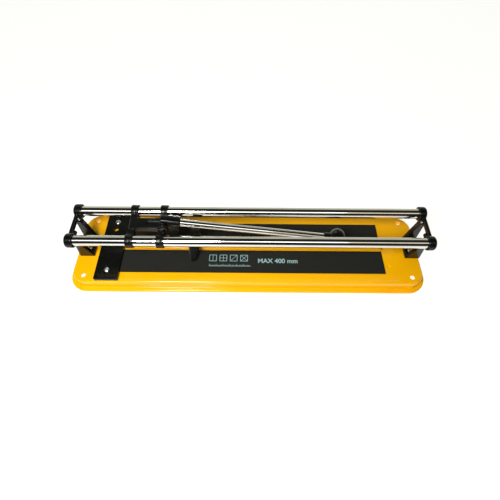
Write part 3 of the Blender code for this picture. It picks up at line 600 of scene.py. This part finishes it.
def press_ridge(shell):
    """Raises the hollow ridge and returns the tools that it takes."""
    radius = (RIDGE_WIDTH ** 2 / 4 + RIDGE_HEIGHT ** 2) / (2 * RIDGE_HEIGHT)
    place = Matrix.Translation((sum(RIDGE_X) / 2, 0, TRAY_TOP + RIDGE_HEIGHT - radius))
    outside = helper("ridge_outside", ridge_capsule(radius, place))
    base = helper("ridge_base", box_mesh((-1, -1, -1), (1, 1, TRAY_TOP - TRAY_SHEET / 2)))
    inside = helper("ridge_inside", ridge_capsule(radius - TRAY_SHEET, place))
    add_boolean(outside, base, "DIFFERENCE")
    add_boolean(shell, outside, "UNION")
    add_boolean(shell, inside, "DIFFERENCE")
    return [outside, base, inside]


def tray_holes():
    """(x, y, radius) of the corner holes and of the screw holes above the nuts."""
    holes = [(side_x * MOUNT_HOLES[0], side_y * MOUNT_HOLES[1], MOUNT_HOLE_RADIUS)
             for side_x in (-1, 1) for side_y in (-1, 1)]
    for node in frame["nodes"]:
        if "_nut_" in node:
            middle = box_middle(node)
            holes.append((middle.x, middle.y, SCREW_HOLE_RADIUS))
    return holes


def build_tray(material):
    shell = tray_shell()
    tools = press_ridge(shell)
    for x, y, radius in tray_holes():
        drill = rod_mesh(radius, TRAY_TOP - HOLE_REACH, TRAY_TOP + HOLE_REACH)
        tools.append(helper("hole", drill, Matrix.Translation((x, y, 0))))
        add_boolean(shell, tools[-1], "DIFFERENCE")
    shape = bmesh.new()
    bmesh.ops.create_uvsphere(shape, u_segments=96, v_segments=96, radius=DIMPLE_RADIUS)
    place = Matrix.Translation((*DIMPLE, TRAY_TOP + DIMPLE_RADIUS - DIMPLE_DEPTH))
    tools.append(helper("dimple", mesh_from(shape, "dimple", place)))
    add_boolean(shell, tools[-1], "DIFFERENCE")
    mesh = shade(baked(shell, tools, "tray"), 30)
    piece = new_piece("tray_enamelled", mesh, material, "base", ["base_tray"])
    flat_normals(piece)


def box_middle(node):
    low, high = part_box(node)
    return (Vector(low) + Vector(high)) / 2


# ================================================================ pads and print

def build_pad(node, material):
    """A foam slab with softly rounded edges and a slightly uneven top."""
    low, high = (Vector(corner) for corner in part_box(node))
    shape = bmesh.new()
    columns, rows = PAD_CELLS
    bmesh.ops.create_grid(shape, x_segments=columns, y_segments=rows, size=0.5)
    size = high - low
    for vertex in shape.verts:
        x = vertex.co.x * size.x
        y = vertex.co.y * size.y
        edge = min(size.x / 2 - abs(x), size.y / 2 - abs(y))
        (first_x, first_y), (second_x, second_y) = PAD_WAVES
        wave = math.sin(x * first_x + y * first_y) * math.cos(x * second_x + y * second_y)
        dip = PAD_DIP * (1 + wave)
        vertex.co = (x + (low.x + high.x) / 2, y + (low.y + high.y) / 2, high.z - dip)
        if edge < PAD_BORDER:
            vertex.co.z -= (PAD_BORDER - edge) * PAD_BORDER_SLOPE
    rim = [edge for edge in shape.edges if edge.is_boundary]
    skirt = bmesh.ops.extrude_edge_only(shape, edges=rim)
    for vertex in (item for item in skirt["geom"] if isinstance(item, bmesh.types.BMVert)):
        vertex.co.z = low.z
    bottom = [edge for edge in shape.edges if edge.is_boundary]
    bmesh.ops.edgeloop_fill(shape, edges=bottom)
    mesh = shade(mesh_from(shape, node), 50)
    piece = new_piece(f"{node}_foam", mesh, material, "base", [node])
    round_edges(piece, PAD_BEVEL, 2, 50)


def printed_bar(name, length, width, place, material):
    """A printed line, a few hundredths of a millimetre thick."""
    x, y = length / 2, width / 2
    shape = slab_shape([(-x, -y), (x, -y), (x, y), (-x, y)], 0, INK_THICKNESS)
    new_piece(name, mesh_from(shape, name, place), material, "base", ())


def print_tile(number, turns, top, material):
    """A tile's outline with the lines that it is scored along."""
    middle = Matrix.Translation((PRINT_X + number * TILE_STEP, PRINT_Y + TILE_RISE, top))
    for side in range(4):
        quarter = Matrix.Rotation(side * math.pi / 2, 4, "Z")
        place = middle @ quarter @ Matrix.Translation((0, TILE_SIDE / 2, 0))
        printed_bar(f"print_tile_{number}_{side}", TILE_SIDE + TILE_LINE, TILE_LINE, place, material)
    for turn in turns:
        reach = TILE_SIDE * (DIAGONAL_SHARE if turn % 90 else STRAIGHT_SHARE)
        turned = Matrix.Rotation(math.radians(turn), 4, "Z")
        place = middle @ turned @ Matrix.Translation((0, 0, SCORE_LIFT))
        printed_bar(f"print_score_{number}_{turn}", reach, SCORE_LINE, place, material)


def print_rule(top, material):
    start = PRINT_X - TILE_SIDE / 2
    place = Matrix.Translation((start + RULE_LENGTH / 2, PRINT_Y - RULE_DROP, top))
    printed_bar("print_rule", RULE_LENGTH, RULE_LINE, place, material)
    for number in range(TICK_COUNT):
        height = SHORT_TICK if number % 5 else LONG_TICK
        x = start + TICK_INSET + number * TICK_STEP
        place = Matrix.Translation((x, PRINT_Y - TICK_DROP + height / 2, top))
        printed_bar(f"print_tick_{number}", TICK_LINE, height, place, material)


def print_words(top, material):
    text = bpy.data.curves.new("print_length", "FONT")
    text.body = WORDS
    text.size = WORDS_SIZE
    text.extrude = INK_THICKNESS / 2
    text.offset = WORDS_WEIGHT
    words = bpy.data.objects.new("length_words", text)
    bpy.context.scene.collection.objects.link(words)
    mesh = baked(words, (), "print_length")
    mesh.transform(Matrix.Translation((WORDS_X, PRINT_Y - WORDS_DROP, top + INK_THICKNESS / 2)))
    new_piece("print_length", mesh, material, "base", ())


def build_print(material):
    """Four tiles with different score lines, a short rule below them, and the longest cut."""
    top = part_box("front_pad")[1][2] - PRINT_SINK
    for number, turns in enumerate(TILE_SCORES):
        print_tile(number, turns, top, material)
    print_rule(top, material)
    print_words(top, material)


# ================================================================ fence and fasteners

def build_fence(material):
    low, high = (Vector(corner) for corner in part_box("fence_bar"))
    bar = helper("bar", rounded_slab(low, high, FENCE_CORNER))
    tools = []
    for node in ("fence_screw_front", "fence_screw_rear"):
        middle = box_middle(node)
        place = Matrix.Translation((middle.x, middle.y, 0))
        for radius, bottom in ((FENCE_RECESS_RADIUS, high.z - FENCE_RECESS_DEPTH),
                               (SCREW_HOLE_RADIUS, low.z - CUT)):
            tools.append(helper("hole", rod_mesh(radius, bottom, high.z + CUT, 64), place))
    tools.append(helper("hole", rod_mesh(FENCE_HOLE_RADIUS, low.z - CUT, high.z + CUT, 64),
                        Matrix.Translation((*FENCE_HOLE, 0))))
    for tool in tools:
        add_boolean(bar, tool, "DIFFERENCE")
    mesh = shade(baked(bar, tools, "fence"), 30)
    piece = new_piece("fence_enamelled", mesh, material, "base", ["fence_bar"])
    round_edges(piece, FENCE_BEVEL, 4)


def cross_blades(place, size):
    """Two tapered blades that cut a cross recess in a screw head."""
    blades = []
    for turn in (0, 1):
        shape = bmesh.new()
        bmesh.ops.create_cube(shape, size=1.0)
        bmesh.ops.scale(shape, vec=[size * share for share in BLADE_SHARES], verts=shape.verts)
        for vertex in shape.verts:
            if vertex.co.z < 0:
                vertex.co.x *= BLADE_TAPER[0]
                vertex.co.y *= BLADE_TAPER[1]
        mesh = mesh_from(shape, "blade", Matrix.Rotation(turn * math.pi / 2, 4, "Z"))
        blades.append(helper(f"blade_{turn}", mesh, place))
    return blades


def pan_head_mesh(name, seat, place, turn, length):
    """A pan-head screw with a cross recess; its threaded shank runs down from the seat."""
    dome = 1 - PAN_HEAD_SHOULDER
    outline = [(0.0, seat + PAN_HEAD_HEIGHT)]
    for step in range(1, 9):
        angle = math.radians(90 - 10 * step)
        outline.append((PAN_HEAD_RADIUS * math.cos(angle),
                        seat + PAN_HEAD_HEIGHT * (PAN_HEAD_SHOULDER + dome * math.sin(angle))))
    outline += [(PAN_HEAD_RADIUS, seat + PAN_HEAD_HEIGHT * PAN_HEAD_RIM),
                (PAN_HEAD_RADIUS - PAN_HEAD_DRAFT, seat), (THREAD_RADIUS, seat)]
    for step in range(int((length - POINT_LENGTH) / THREAD_PITCH)):
        outline += [(THREAD_RADIUS, seat - THREAD_START - step * THREAD_PITCH),
                    (THREAD_ROOT, seat - THREAD_START - (step + 0.5) * THREAD_PITCH)]
    outline += [(POINT_RADIUS, seat - length), (0.0, seat - length)]
    screw = helper("screw", turned_mesh(name, outline, Matrix(), segments=48))
    head_top = Matrix.Translation((0, 0, seat + PAN_HEAD_HEIGHT)) @ Matrix.Rotation(turn, 4, "Z")
    blades = cross_blades(head_top, PAN_HEAD_RADIUS * CROSS_SHARE)
    for blade in blades:
        add_boolean(screw, blade, "DIFFERENCE")
    mesh = baked(screw, blades, name)
    mesh.transform(place)
    return shade(mesh, 30)


def build_screws(material):
    random.seed(4)
    for node in sorted(frame["nodes"]):
        if node.startswith("fence_screw") or "_bracket_bolt_" in node:
            low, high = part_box(node)
            middle = box_middle(node)
            place = Matrix.Translation((middle.x, middle.y, 0))
            seat = high[2] - PAN_HEAD_HEIGHT
            mesh = pan_head_mesh(node, seat, place, random.uniform(0, 1.5), seat - low[2])
            new_piece(f"{node}_plated", mesh, material, "base", [node])
        if "_nut_" in node:
            build_nut(node, material)
        if "_rail_screw_" in node:
            build_grub(node, material)


def build_nut(node, material):
    """A hexagon nut with chamfered corners."""
    low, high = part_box(node)
    middle = box_middle(node)
    radius = (high[1] - low[1]) / 2
    shape = bmesh.new()
    bmesh.ops.create_cone(shape, cap_ends=True, segments=6, radius1=radius, radius2=radius,
                          depth=high[2] - low[2])
    nut = helper("nut", mesh_from(shape, "nut", Matrix.Translation(middle)))
    face = radius * NUT_FACE_SHARE
    reach = radius * NUT_REACH_SHARE
    cone = [(0.0, high[2] + NUT_CHAMFER), (face, high[2] + NUT_CHAMFER), (reach, high[2] - NUT_CHAMFER),
            (reach, low[2] + NUT_CHAMFER), (face, low[2] - NUT_CHAMFER), (0.0, low[2] - NUT_CHAMFER)]
    place = Matrix.Translation((middle.x, middle.y, 0))
    keep = helper("chamfer", turned_mesh("chamfer", cone, place, segments=48))
    bore = helper("bore", rod_mesh(SCREW_HOLE_RADIUS, low[2] - CUT, high[2] + CUT), place)
    add_boolean(nut, keep, "INTERSECT")
    add_boolean(nut, bore, "DIFFERENCE")
    mesh = shade(baked(nut, [keep, bore], node), 30)
    new_piece(f"{node}_plated", mesh, material, "base", [node])


def build_grub(node, material):
    """A grub screw along Y with a hexagon socket in the end that shows."""
    low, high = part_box(node)
    middle = box_middle(node)
    inward = -1.0 if middle.y > 0 else 1.0
    half = (high[1] - low[1]) / 2
    outline = [(0.0, half), (THREAD_RADIUS - GRUB_CHAMFER[0], half), (THREAD_RADIUS, half - GRUB_CHAMFER[1]),
               (THREAD_RADIUS, -half + GRUB_POINT[1]), (THREAD_RADIUS - GRUB_POINT[0], -half), (0.0, -half)]
    grub = helper("grub", turned_mesh(node, outline, Matrix(), segments=40))
    socket = helper("socket", rod_mesh(HEX_RADIUS, half - HEX_DEPTH, half + CUT, 6))
    add_boolean(grub, socket, "DIFFERENCE")
    mesh = baked(grub, [socket], node)
    mesh.transform(Matrix.Translation(middle) @ Matrix.Rotation(-inward * math.pi / 2, 4, "X"))
    new_piece(f"{node}_plated", shade(mesh, 30), material, "base", [node])


# ================================================================ cast pieces

def build_cast(node, body, material):
    """A casting: the frame's solid with every edge softened, as a mould leaves it."""
    item = helper(node, frame["nodes"][node].data.copy())
    weld = item.modifiers.new("weld", "WELD")
    weld.merge_threshold = CAST_WELD
    remesh = item.modifiers.new("skin", "REMESH")
    remesh.mode = "VOXEL"
    remesh.voxel_size = CAST_VOXEL
    smooth = item.modifiers.new("soft edges", "SMOOTH")
    smooth.factor = 0.5
    smooth.iterations = CAST_SMOOTHING
    lighter = item.modifiers.new("lighter", "DECIMATE")
    lighter.ratio = CAST_DETAIL
    mesh = baked(item, (), node)
    mesh.shade_smooth()
    new_piece(f"{node}_cast", mesh, material, body, [node])


# ================================================================ rails, tube, knob and wheel

def tube_outline(radius, wall, start, end, chamfer):
    """The section of a tube whose outer edges are chamfered, to be turned as a closed outline."""
    return [(radius - chamfer, end), (radius, end - chamfer), (radius, start + chamfer),
            (radius - chamfer, start), (radius - wall, start), (radius - wall, end)]


def build_rail(node, material):
    low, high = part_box(node)
    half = (high[0] - low[0]) / 2
    outline = tube_outline((high[2] - low[2]) / 2, RAIL_WALL, -half, half, RAIL_CHAMFER)
    mesh = turned_mesh(node, outline, Matrix.Translation(box_middle(node)) @ ALONG_X, True, 96)
    new_piece(f"{node}_plated", mesh, material, "base", [node])


def build_tube(material):
    outline = tube_outline(TUBE_RADIUS, TUBE_WALL, TUBE_START, TUBE_END, TUBE_CHAMFER)
    mesh = turned_mesh("handle_tube", outline, LEVER @ ALONG_X, True, 80)
    new_piece("handle_tube_plated", mesh, material, "lever", ["handle_tube"])


def build_knob(material):
    """A ball with a raised mould seam round its middle, on a collar."""
    outline = [(0.0, KNOB_CENTRE + KNOB_HALF_LENGTH)]
    for degrees in range(88, -61, -2):
        if degrees == 2:               # the seam's outer side is a wider facet
            continue
        angle = math.radians(degrees)
        seam = KNOB_SEAM if degrees == 0 else 0.0
        outline.append((KNOB_RADIUS * math.cos(angle) + seam,
                        KNOB_CENTRE + KNOB_HALF_LENGTH * math.sin(angle)))
    outline += COLLAR_OUTLINE
    outline += [(KNOB_BORE, COLLAR_OUTLINE[-1][1]), (KNOB_BORE, KNOB_BORE_END), (0.0, KNOB_BORE_END)]
    mesh = turned_mesh("handle_knob", outline, LEVER @ ALONG_X, False, 96)
    new_piece("handle_knob_moulded", mesh, material, "lever", ["handle_knob"])


def build_wheel(material):
    place = Matrix.Translation(JOINTS["wheel_spin"]["pos_m"]) @ ALONG_Y
    low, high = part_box("scoring_wheel")
    edge = (high[2] - low[2]) / 2
    bevel = edge - WHEEL_EDGE_DEPTH
    half = [(WHEEL_HUB_RADIUS - WHEEL_HUB_CHAMFER, WHEEL_HALF_WIDTH),
            (WHEEL_HUB_RADIUS, WHEEL_HALF_WIDTH - WHEEL_HUB_CHAMFER), (WHEEL_HUB_RADIUS, WHEEL_DISC_HALF),
            (bevel - WHEEL_EDGE_SOFTENING[0], WHEEL_DISC_HALF),
            (bevel, WHEEL_DISC_HALF - WHEEL_EDGE_SOFTENING[1]), (edge, WHEEL_EDGE_HALF)]
    outline = half + [(radius, -height) for radius, height in reversed(half)]
    outline += [(WHEEL_BORE, -WHEEL_HALF_WIDTH), (WHEEL_BORE, WHEEL_HALF_WIDTH)]
    mesh = turned_mesh("scoring_wheel", outline, place, True, 120)
    new_piece("scoring_wheel_ground", mesh, material, "wheel", ["scoring_wheel"])


def finish_small_nodes(plated, blackened):
    """The small turned pieces keep the frame's own shape."""
    materials = {"pivot_pin": blackened, "pivot_clip": blackened, "handle_set_screw": blackened,
                 "wheel_axle": plated, "foot_screw": plated}
    for node, material in materials.items():
        item = frame["nodes"][node]
        item.data.materials.clear()
        item.data.materials.append(material)
        round_edges(item, NODE_BEVEL, 2, 30)


# ================================================================ stage

def build_stage():
    shape = bmesh.new()
    bmesh.ops.create_grid(shape, x_segments=1, y_segments=1, size=FLOOR_SIZE)
    floor = bpy.data.objects.new("floor", mesh_from(shape, "floor"))
    floor.location.z = -FLOOR_DROP
    floor.data.materials.append(floor_finish())
    bpy.context.scene.collection.objects.link(floor)


def area_light(name, place, target, size, power, colour):
    data = bpy.data.lights.new(name, "AREA")
    data.shape = "RECTANGLE"
    data.size, data.size_y = size
    data.energy = power
    data.color = colour
    light = bpy.data.objects.new(name, data)
    bpy.context.scene.collection.objects.link(light)
    light.location = place
    light.rotation_euler = (Vector(target) - Vector(place)).to_track_quat("-Z", "Y").to_euler()


def build_world():
    """Bands round the X axis: a pale wall behind, a dark ceiling with a dim strip, a dark room in front."""
    world = bpy.data.worlds.new("studio")
    bpy.context.scene.world = world
    world.use_nodes = True
    tree = world.node_tree
    background = tree.nodes["Background"]
    place = tree.nodes.new("ShaderNodeTexCoord")
    parts = tree.nodes.new("ShaderNodeSeparateXYZ")
    angle = tree.nodes.new("ShaderNodeMath")
    angle.operation = "ARCTAN2"
    size = tree.nodes.new("ShaderNodeMath")
    size.operation = "ABSOLUTE"
    turns = tree.nodes.new("ShaderNodeMapRange")
    turns.inputs["From Max"].default_value = math.pi
    ramp = tree.nodes.new("ShaderNodeValToRGB")
    while len(ramp.color_ramp.elements) < len(WORLD_BANDS):
        ramp.color_ramp.elements.new(0.5)
    for element, (degrees, value) in zip(ramp.color_ramp.elements, WORLD_BANDS):
        element.position = degrees / 180
        element.color = (*(value * share for share in WORLD_TINT), 1.0)
    tree.links.new(place.outputs["Generated"], parts.inputs["Vector"])
    tree.links.new(parts.outputs["Z"], angle.inputs[0])
    tree.links.new(parts.outputs["Y"], angle.inputs[1])
    tree.links.new(angle.outputs["Value"], size.inputs[0])
    tree.links.new(size.outputs["Value"], turns.inputs["Value"])
    tree.links.new(turns.outputs["Result"], ramp.inputs["Fac"])
    tree.links.new(ramp.outputs["Color"], background.inputs["Color"])


def build_camera():
    pitch = math.radians(CAMERA_PITCH)
    yaw = math.radians(CAMERA_YAW)
    roll = math.radians(CAMERA_ROLL)
    ahead = Vector((math.sin(yaw) * math.cos(pitch), math.cos(yaw) * math.cos(pitch), -math.sin(pitch)))
    right = Vector((math.cos(yaw), -math.sin(yaw), 0))
    up = right.cross(ahead)
    rolled_right = math.cos(roll) * right + math.sin(roll) * up
    rolled_up = -math.sin(roll) * right + math.cos(roll) * up
    camera = bpy.data.objects.new("camera", bpy.data.cameras.new("camera"))
    bpy.context.scene.collection.objects.link(camera)
    turn = Matrix((rolled_right, rolled_up, -ahead)).transposed().to_4x4()
    camera.matrix_world = Matrix.Translation(CAMERA_PLACE) @ turn
    camera.data.lens = CAMERA_LENS
    camera.data.sensor_width = SENSOR_WIDTH
    camera.data.clip_start = 0.01
    bpy.context.scene.camera = camera


bpy.context.scene.view_settings.view_transform = "Standard"
BLACK = black_enamel()
CHROME = chrome()
ZINC = zinc()
FOAM = foam()

build_tray(yellow_enamel())
build_pad("front_pad", FOAM)
build_pad("rear_pad", FOAM)
build_print(ink())
build_fence(BLACK)
build_screws(ZINC)
for cast_node, cast_body in CASTINGS.items():
    build_cast(cast_node, cast_body, BLACK)
build_rail("front_rail", CHROME)
build_rail("rear_rail", CHROME)
build_tube(CHROME)
build_knob(knob_plastic())
build_wheel(carbide())
finish_small_nodes(ZINC, BLACK)

build_stage()
build_world()
for lamp in LAMPS:
    area_light(*lamp)
build_camera()
